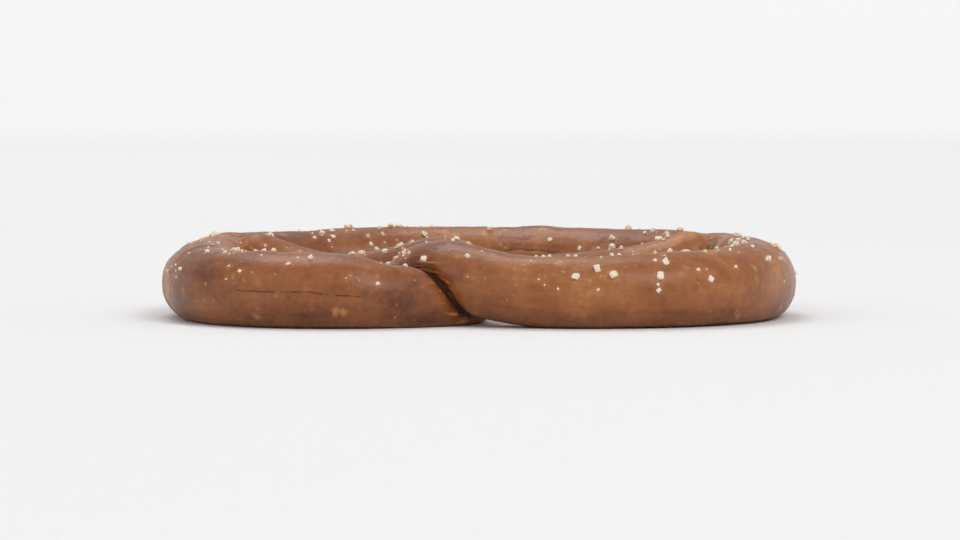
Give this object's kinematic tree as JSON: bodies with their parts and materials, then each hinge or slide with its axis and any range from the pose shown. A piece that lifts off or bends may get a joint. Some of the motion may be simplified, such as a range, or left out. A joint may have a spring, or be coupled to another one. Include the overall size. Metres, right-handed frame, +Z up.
{
  "type": "pretzel",
  "caption": "Baked rope of dough looped and twisted into a pretzel, with a flat underside, open lobes and a satin brown crust with coarse salt.",
  "frame": {"origin": "under the middle of the outline, on the flat underside that the pretzel rests on", "axes": "+Z up, out of the salted side; +Y from the twist, between the lobes, to the back of the belly; +X to the right when the twist is nearest"},
  "size_m": [0.1082, 0.086, 0.0138],
  "materials": {
    "crust": "satin",
    "salt": "satin"
  },
  "bodies": {
    "root": {"pretzel": "crust"}
  },
  "joints": []
}
